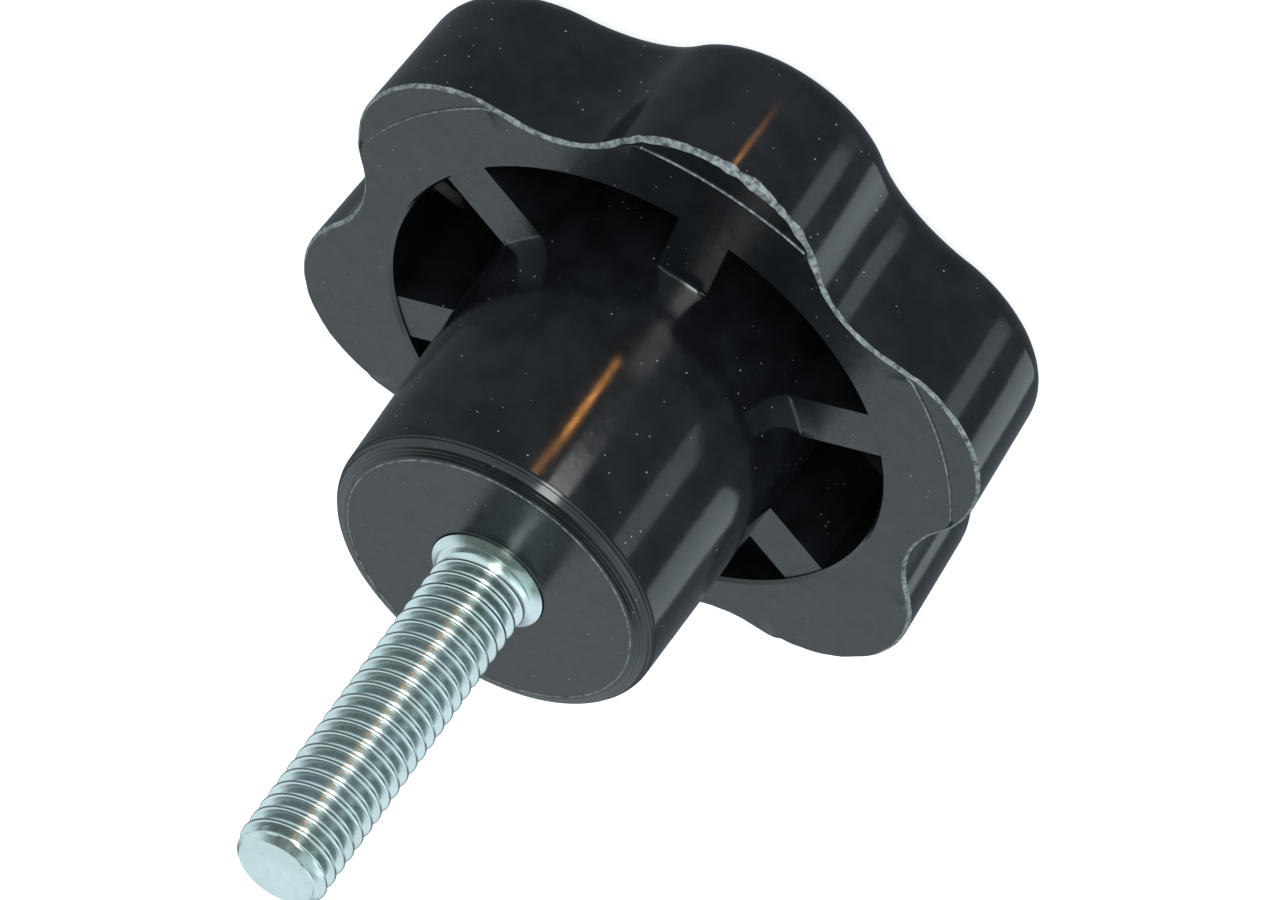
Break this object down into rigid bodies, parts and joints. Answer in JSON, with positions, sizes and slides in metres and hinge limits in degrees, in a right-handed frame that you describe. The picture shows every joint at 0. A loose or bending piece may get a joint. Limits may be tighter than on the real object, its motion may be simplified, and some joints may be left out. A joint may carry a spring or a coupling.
{
  "type": "star knob screw",
  "caption": "Lobed star knob moulded in dark glossy resin with a ribbed underside, a long hub and a zinc-plated threaded steel stud for clamping by hand.",
  "frame": {"origin": "centre of the flat on the crown, on which the knob stands head down", "axes": "+Z along the stud's axis, from the crown to the stud's tip; one lobe points along -Y"},
  "size_m": [0.0418, 0.0456, 0.0515],
  "materials": {
    "knob_resin": "glossy as moulded on the sides, satin on the underside",
    "zinc_plated_steel": "bright zinc plated"
  },
  "bodies": {
    "root": {"knob": "knob_resin", "threaded_stud": "zinc_plated_steel"}
  },
  "joints": []
}
